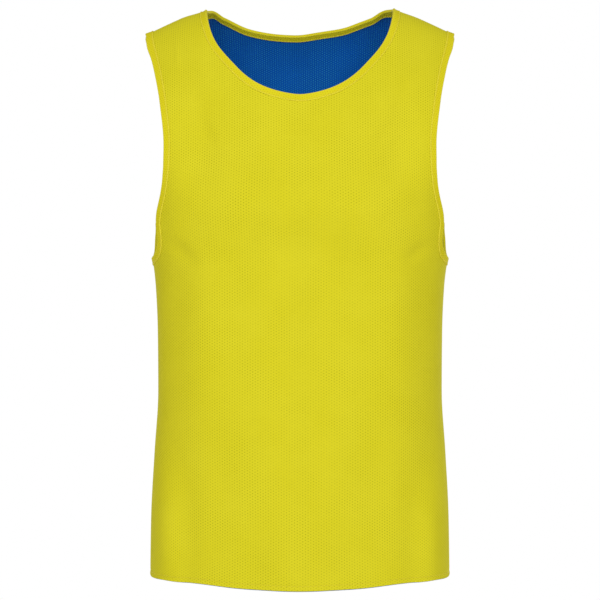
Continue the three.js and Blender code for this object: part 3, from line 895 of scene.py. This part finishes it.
def knitted_mesh(
    name, yarn, uneven_yarn, eyelet_layer_and_shade, grid_mm, radius_mm, roughness, sheen=0.0, edge=None,
):
    material, tree, shader = new_material(
        name, Roughness=roughness, IOR=1.5, Specular_IOR_Level=0.08,
        Sheen_Weight=sheen, Sheen_Roughness=0.5,
    )
    threads = add_node(tree, "ShaderNodeUVMap", {"uv_map": UV_NAME}).outputs["UV"]
    mask = eyelets(tree, threads, *grid_mm, radius_mm)

    def mixed(share, first, second):
        mix = add_node(tree, "ShaderNodeMix", {"data_type": "RGBA"}, i0=share, i6=first, i7=second)
        return mix.outputs[2]

    def patches(size_mm, low, high):
        noise = add_node(
            tree, "ShaderNodeTexNoise",
            Vector=threads, Scale=1 / size_mm, Detail=3.0, Roughness=0.55,
        )
        return add_node(
            tree, "ShaderNodeMapRange", Value=noise.outputs["Fac"],
            From_Min=0.35, From_Max=0.65, To_Min=low, To_Max=high,
        ).outputs[0]

    cloth = mixed(patches(YARN_PATCH_MM, 0.0, 1.0), linear(yarn), linear(uneven_yarn))
    # edge: a lighter colour, mixed in where the cloth is doubled and as a painted highlight on the
    # ridges
    if edge:
        doubled_and_highlight = add_node(tree, "ShaderNodeAttribute", {"attribute_name": DOUBLED_AND_HIGHLIGHT}).outputs["Fac"]
        cloth = mixed(doubled_and_highlight, cloth, linear(edge))
    clear = patches(EYELET_PATCH_MM, FAINTEST_EYELET, 1.0)
    seen = math_step(tree, "MULTIPLY", mask, clear)
    # painted shade: the eyelet colour is the other layer seen through the hole, darkened as if shaded
    tree.links.new(mixed(seen, cloth, linear(eyelet_layer_and_shade)), shader.inputs["Base Color"])
    bump = add_node(
        tree, "ShaderNodeBump", {"invert": True}, Strength=0.3, Distance=0.25 * MM, Height=mask,
    )
    tree.links.new(bump.outputs[0], shader.inputs["Normal"])
    return material


# %% Yellow, blue and folded mesh
# The eyelet colours are the other layer seen through the hole, with painted shade in it.
yellow_mesh = knitted_mesh(
    "yellow_knitted_polyester_mesh", "#dcd326", "#d9d022", "#aaa60f",
    grid_mm=(3.1, 3.3), radius_mm=0.66, roughness=0.85,
)
blue_mesh = knitted_mesh(
    "blue_knitted_polyester_mesh", "#0053ad", "#004fa6", "#2d90b8",
    grid_mm=(2.9, 2.9), radius_mm=0.7, roughness=0.8, sheen=0.03,
)
# The binding's ridges are painted lighter: doubled cloth and a painted highlight.
binding_mesh = knitted_mesh(
    "yellow_folded_mesh_binding", "#e0d520", "#dbd01b", "#c6a416",
    grid_mm=(3.0, 3.2), radius_mm=0.62, roughness=0.8, edge="#e9de3c",
)
print("made:", yellow_mesh.name, blue_mesh.name, binding_mesh.name)

# %% Make the four panels
LAYERS = (
    ("outer", "yellow", 1, yellow_mesh, 0.0),
    ("inner", "blue", -1, blue_mesh, BLUE_BELOW_MM),
)
panels = {}
for layer, colour, way, material, lower in LAYERS:
    for name, sheet in sheets.items():
        node = f"{layer}_{name}"
        panels[node] = make_panel(f"{colour}_{name}", sheet, way, material, lower)
        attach(panels[node], BODY)
        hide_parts(node)
print("triangles in a panel:", 2 * len(panels["outer_front"].data.polygons))

# %% [markdown]
# ## The folded bindings
#
# A binding is a narrow strip of the same mesh. Its long edges are turned under, it is folded over
# the raw edges of both layers, and one row of stitches near each side holds it down. It is swept
# here as a closed ring of points that is repeated all round the opening: out along the outside,
# round the fold, back along the inside, and home underneath. Turned edges make a low ridge on both
# sides of each leg. The ridges and the ends of the fold are painted lighter, partly because the
# cloth is doubled there and partly as a painted highlight.

# %% The section of a binding
# share of the width from the turned edge to the fold, mm above the layers, and how much lighter it is
# painted: doubled cloth plus a painted highlight on the ridge
LEG = [
    (0.12, 0.15, 1), (0.14, 0.7, 1), (0.18, 1.1, 1), (0.23, 1.1, 0.8),
    (0.28, 0.8, 0.1), (0.34, 0.75, 0), (0.45, 0.85, 0), (0.6, 0.95, 0),
    (0.75, 0.95, 0), (0.85, 0.95, 0), (0.93, 1.05, 0.2), (1.0, 1.05, 0.5),
]
STITCHED_AT = 0.3
STITCHED_HEIGHT = 0.8
FOLD_STEPS = 8
FOLD_BEYOND_MM = 1.2
UNDER_MM = 0.12
UNDER_SHARES = (0.15, 0.5, 0.98)
print(f"the turned edge stands {max(height for _, height, _ in LEG)} mm above the layers")

# %% Lines along a bound edge
front, back = sheets["front"], sheets["back"]


def band_line(sheet, label, way):
    rows = sheet["rows"][label, way]
    return sheet["points"][rows], sheet["normals"][rows]


def joined(*lines):
    return [np.concatenate([line[k] for line in lines], axis=1) for k in (0, 1)]


def flipped(line):
    return [part[:, ::-1] for part in line]


def cut_short(line, start=0, end=0):
    return [part[:, start:part.shape[1] - end] for part in line]


def all_round(line_of):
    return joined(
        line_of(front, 1), cut_short(flipped(line_of(back, 1)), 1),
        cut_short(line_of(back, -1), 1), cut_short(flipped(line_of(front, -1)), 1, 1),
    )


def neck_loop():
    return all_round(lambda sheet, way: band_line(sheet, "neck", way))


def armhole_loop(way):
    behind = cut_short(flipped(band_line(back, "armhole", way)), 1, 1)
    points, normals = joined(band_line(front, "armhole", way), behind)
    return points[::-1], normals[::-1]


def across_band(rows, share):
    at = share * (len(rows) - 1)
    low = min(int(at), len(rows) - 2)
    return rows[low] + (rows[low + 1] - rows[low]) * (at - low)


# %% Go round the section
def binding_rings(loop):
    rows, normals = loop
    edge, edge_out = rows[-1], normals[-1]
    beyond = edge - rows[-2]
    beyond = unit(beyond - edge_out * dot(beyond, edge_out)[:, None])

    def at(share, way, above):
        return across_band(rows, share) + across_band(normals, share) * way * (LAYER_END + above)

    height = LAYER_END + LEG[-1][1]
    ring = [at(share, 1, above) for share, above, _ in LEG]
    for k in range(1, FOLD_STEPS):
        angle = QUARTER - math.pi * k / FOLD_STEPS
        round_fold = edge_out * height * math.sin(angle) + beyond * FOLD_BEYOND_MM * math.cos(angle)
        ring.append(edge + round_fold)
    ring += [at(share, -1, above) for share, above, _ in LEG[::-1]]
    ring += [at(share, -1, UNDER_MM) for share in UNDER_SHARES]
    ring += [at(share, 1, UNDER_MM) for share in UNDER_SHARES[::-1]]
    return np.stack(ring, 1)


# How much lighter each point of a ring is painted: doubled cloth and a painted highlight.
def doubled_cloth_and_highlight():
    on_leg = [doubled_and_highlight for _, _, doubled_and_highlight in LEG]
    fold_end = [on_leg[-1]] * 2
    on_fold = fold_end + [0.0] * (FOLD_STEPS - 1 - 2 * len(fold_end)) + fold_end
    return on_leg + on_fold + on_leg[::-1] + [0.0] * 2 * len(UNDER_SHARES)


# %% Sweep a binding
def make_binding(name, loop, material):
    rings, inside = binding_rings(loop), loop[0][0]
    around = np.linalg.norm(np.diff(rings, axis=1, append=rings[:, :1]), axis=-1).mean(0)
    strip = np.concatenate([[0], np.cumsum(around)])
    run = np.linalg.norm(np.roll(inside, -1, 0) - inside, axis=-1)
    along = np.concatenate([[0], np.cumsum(run)])
    here = np.arange(rings.shape[0] * rings.shape[1]).reshape(rings.shape[:2])
    after = np.roll(here, -1, 0)
    corners = here, after, np.roll(after, -1, 1), np.roll(here, -1, 1)
    faces = np.stack(corners, -1).reshape(-1, 4)
    uv = np.stack(np.broadcast_arrays(
        along[:-1, None], strip[:-1], along[1:, None], strip[:-1],
        along[1:, None], strip[1:], along[:-1, None], strip[1:],
    ), -1)
    points = rings.reshape(-1, 3)
    made = mesh_object(name, points, faces.tolist(), uv, material)
    layer = made.data.attributes.new(DOUBLED_AND_HIGHLIGHT, "FLOAT", "POINT")
    layer.data.foreach_set("value", np.tile(np.array(doubled_cloth_and_highlight(), np.float32), len(rings)))
    a, b, c = (points[faces[:, k]] for k in range(3))
    if dot(a, np.cross(b, c)).sum() < 0:
        made.data.flip_normals()
    width = strip[2 * len(LEG) + FOLD_STEPS - 2]
    print(f"{name}: {along[-1]:.0f} mm along its inside, {width:.1f} mm from edge to edge")
    return made


# %% Make the three bindings
# node: the names of its cloth and its stitches, and the line that it is swept along
BOUND_EDGES = {"neck_binding": ("neck_binding_cloth", "neck_binding_stitches", neck_loop())}
for side, way in (("left", 1), ("right", -1)):
    BOUND_EDGES[f"armhole_binding_{side}"] = (
        f"armhole_binding_cloth_{side}", f"armhole_stitches_{side}", armhole_loop(way),
    )
bindings = {}
for node, (name, _, loop) in BOUND_EDGES.items():
    bindings[node] = make_binding(name, loop, binding_mesh)
    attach(bindings[node], BODY)
    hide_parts(node)

# %% [markdown]
# ## Stitches
#
# Every binding is held by a row of stitches near its turned edges, outside and inside, and the hem
# by one row that goes through both layers. A stitch is the same little grain of thread each time,
# so Geometry Nodes repeat it: the row becomes a curve, the curve is cut at the stitch spacing, and
# a grain is turned along the row and away from the cloth at each point. The thread is drawn about
# twice as thick as it is, because a real one would not show.

# %% The stitch row tree
OUT = "out"


def stitch_tree():
    tree = bpy.data.node_groups.new("stitch_row", "GeometryNodeTree")
    face = tree.interface
    face.new_socket("Row", in_out="INPUT", socket_type="NodeSocketGeometry")
    for name, value in (("Spacing", 0.003), ("Length", 0.0022), ("Thickness", 0.0006)):
        face.new_socket(name, in_out="INPUT", socket_type="NodeSocketFloat").default_value = value
    face.new_socket("Thread", in_out="INPUT", socket_type="NodeSocketMaterial")
    face.new_socket("Stitches", in_out="OUTPUT", socket_type="NodeSocketGeometry")
    given = add_node(tree, "NodeGroupInput").outputs
    curve = add_node(tree, "GeometryNodeMeshToCurve", i0=given["Row"])
    cut = add_node(
        tree, "GeometryNodeResampleCurve", {"mode": "LENGTH"},
        Curve=curve.outputs[0], Length=given["Spacing"],
    )
    grain = add_node(tree, "GeometryNodeMeshUVSphere", Segments=6, Rings=5, Radius=0.5)
    thick = given["Thickness"]
    size = add_node(tree, "ShaderNodeCombineXYZ", X=given["Length"], Y=thick, Z=thick)
    sized = add_node(
        tree, "GeometryNodeTransform", Geometry=grain.outputs["Mesh"], Scale=size.outputs[0],
    )
    tangent = add_node(tree, "GeometryNodeInputTangent").outputs[0]
    out = add_node(tree, "GeometryNodeInputNamedAttribute", {"data_type": "FLOAT_VECTOR"}, Name=OUT)
    along = add_node(tree, "FunctionNodeAlignRotationToVector", {"axis": "X"}, Vector=tangent)
    turned = add_node(
        tree, "FunctionNodeAlignRotationToVector", {"axis": "Z", "pivot_axis": "X"},
        Rotation=along.outputs[0], Vector=out.outputs[0],
    )
    placed = add_node(
        tree, "GeometryNodeInstanceOnPoints",
        Points=cut.outputs[0], Instance=sized.outputs[0], Rotation=turned.outputs[0],
    )
    real = add_node(tree, "GeometryNodeRealizeInstances", i0=placed.outputs[0])
    painted = add_node(
        tree, "GeometryNodeSetMaterial", Geometry=real.outputs[0], Material=given["Thread"],
    )
    add_node(tree, "NodeGroupOutput", i0=painted.outputs[0])
    return tree


STITCHES = stitch_tree()
print("nodes in the tree:", len(STITCHES.nodes))


# %% The thread
def sewing_thread():
    material, tree, shader = new_material(
        "yellow_polyester_sewing_thread", Roughness=0.55, Specular_IOR_Level=0.3,
    )
    place_of = add_node(tree, "ShaderNodeTexCoord").outputs["Object"]
    twist = add_node(tree, "ShaderNodeTexNoise", Vector=place_of, Scale=1 / (0.4 * MM), Detail=1.0)
    colour = add_node(
        tree, "ShaderNodeMix", {"data_type": "RGBA"},
        i0=twist.outputs["Fac"], i6=linear("#ece03c"), i7=linear("#dfce2e"),
    )
    tree.links.new(colour.outputs[2], shader.inputs["Base Color"])
    return material


THREAD = sewing_thread()
print("made:", THREAD.name)


# %% Sew rows of stitches
def sew(name, rows, stitch_mm):
    mesh = bpy.data.meshes.new(name + "_row")
    points, outs, edges = [], [], []
    for row_points, row_outs in rows:
        first, count = len(points), len(row_points)
        points += (row_points * MM).tolist()
        outs += row_outs.tolist()
        edges += [(first + k, first + (k + 1) % count) for k in range(count)]
    mesh.from_pydata(points, edges, [])
    layer = mesh.attributes.new(OUT, "FLOAT_VECTOR", "POINT")
    layer.data.foreach_set("vector", np.array(outs, np.float32).ravel())
    row = new_object(name + "_row", mesh)
    modifier = row.modifiers.new("sew", "NODES")
    modifier.node_group = STITCHES
    values = {"Thread": THREAD} | {key: value * MM for key, value in stitch_mm.items()}
    for item in STITCHES.interface.items_tree:
        if item.in_out == "INPUT" and item.name in values:
            modifier[item.identifier] = values[item.name]
    graph = bpy.context.evaluated_depsgraph_get()
    sewn = bpy.data.meshes.new_from_object(row.evaluated_get(graph))
    sewn.name = name
    made = new_object(name, sewn)
    bpy.data.objects.remove(row)
    made.data.polygons.foreach_set("use_smooth", np.ones(len(made.data.polygons), bool))
    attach(made, BODY)
    print(f"{name}: {len(sewn.polygons)} faces")
    return made


# %% Find the rows
STITCH_LIFT_MM = 0.1


def binding_rows(loop):
    rows, normals = loop
    middle, out = across_band(rows, STITCHED_AT), across_band(normals, STITCHED_AT)
    lift = LAYER_END + STITCHED_HEIGHT + STITCH_LIFT_MM
    return [(middle + out * way * lift, out * way) for way in (1, -1)]


def hem_loop(way):
    def half(sheet, side):
        row = sheet["rows"]["skirt", side][HEM_STITCH_ROW]
        relief = sewing_relief(sheet, sheet["threads"][:, 1])[row]
        out = sheet["normals"][row] * way
        lift = (LAYER_END + relief + STITCH_LIFT_MM)[:, None]
        return [(sheet["points"][row] + out * lift)[None], out[None]]

    points, outs = all_round(half)
    return points[0], outs[0]


# %% Sew the bindings and the hem
BINDING_STITCH_MM = {"Spacing": 2.9, "Length": 2.2, "Thickness": 0.6}
HEM_ROW_STITCH_MM = {"Spacing": 3.2, "Length": 2.5, "Thickness": 0.75}
stitching = {
    node: sew(name, binding_rows(loop), BINDING_STITCH_MM)
    for node, (_, name, loop) in BOUND_EDGES.items()
}
hem_outside = sew("hem_stitches_outside", [hem_loop(1)], HEM_ROW_STITCH_MM)
hem_inside = sew("hem_stitches_inside", [hem_loop(-1)], HEM_ROW_STITCH_MM)

# %% [markdown]
# ## The sheets
#
# The four panels and the three bindings are the sheets of cloth. This cell counts them.

print("sheets:", len(panels) + len(bindings))

# %% [markdown]
# ## Light and camera
#
# The photograph was taken straight on, against white, in soft light. Two softboxes stand a little
# above the camera, to its left and right, and two weaker ones behind keep the back of the bib from
# going dark.

# %% The camera
camera_data = bpy.data.cameras.new("camera")
camera_data.lens = 96.3
camera_data.sensor_width = 36.0
camera = new_object("camera", camera_data)
camera.location = (0.0, -2.0, -0.3625)
camera.rotation_euler = (math.pi / 2, 0.0, 0.0)
bpy.context.scene.camera = camera
print("camera at", camera.location[:])

# %% The lights
AIM = Vector((0, 0, -0.36))
SOFTBOXES = [  # azimuth and elevation in degrees, distance, width and height, watts
    ("softbox_left", -18, 20, 2.8, (0.9, 1.2), 21.4),
    ("softbox_right", 18, 20, 2.8, (0.9, 1.2), 21.4),
    ("softbox_behind_left", 150, 14, 3.0, (1.6, 1.6), 36),
    ("softbox_behind_right", -158, 14, 3.0, (1.6, 1.6), 30),
]


def soft_light(name, azimuth, elevation, distance, size, power):
    a, e = math.radians(azimuth), math.radians(elevation)
    way = Vector((math.sin(a) * math.cos(e), -math.cos(a) * math.cos(e), math.sin(e)))
    data = bpy.data.lights.new(name, "AREA")
    data.shape = "RECTANGLE"
    data.size, data.size_y = size
    data.energy = power
    light = new_object(name, data)
    light.location = AIM + way * distance
    light.rotation_euler = (-way).to_track_quat("-Z", "Y").to_euler()


for softbox in SOFTBOXES:
    soft_light(*softbox)
print("softboxes:", len(SOFTBOXES))

# %% The white studio
STUDIO_GLOW = 0.425  # how strongly the walls light the bib, where the backdrop itself is 1
world = bpy.data.worlds.new("white_studio")
world.use_nodes = True
tree = world.node_tree
backdrop = tree.nodes["Background"]
backdrop.inputs["Color"].default_value = (1, 1, 1, 1)
path = add_node(tree, "ShaderNodeLightPath")
seen_directly = path.outputs["Is Camera Ray"]
strength = add_node(tree, "ShaderNodeMapRange", Value=seen_directly, To_Min=STUDIO_GLOW, To_Max=1.0)
tree.links.new(strength.outputs[0], backdrop.inputs["Strength"])
bpy.context.scene.world = world
bpy.context.scene.view_settings.view_transform = "Standard"
print("world:", world.name)

# %% The floor
FLOOR_RADIUS = 1.9
FLOOR_HEIGHT = -1.1
FLOOR_SIDES = 96
floor_mesh = bpy.data.meshes.new("floor")
angles = np.linspace(0, 2 * math.pi, FLOOR_SIDES + 1)[:-1]
corners = [(FLOOR_RADIUS * math.cos(a), FLOOR_RADIUS * math.sin(a), FLOOR_HEIGHT) for a in angles]
floor_mesh.from_pydata(corners, [], [list(range(FLOOR_SIDES))])
floor = new_object("floor", floor_mesh)
pale, _, _ = new_material("pale_studio_floor", Base_Color=linear("#f2f2f0"), Roughness=0.9)
floor_mesh.materials.append(pale)
print("the floor is", -FLOOR_HEIGHT, "m below the shoulders")
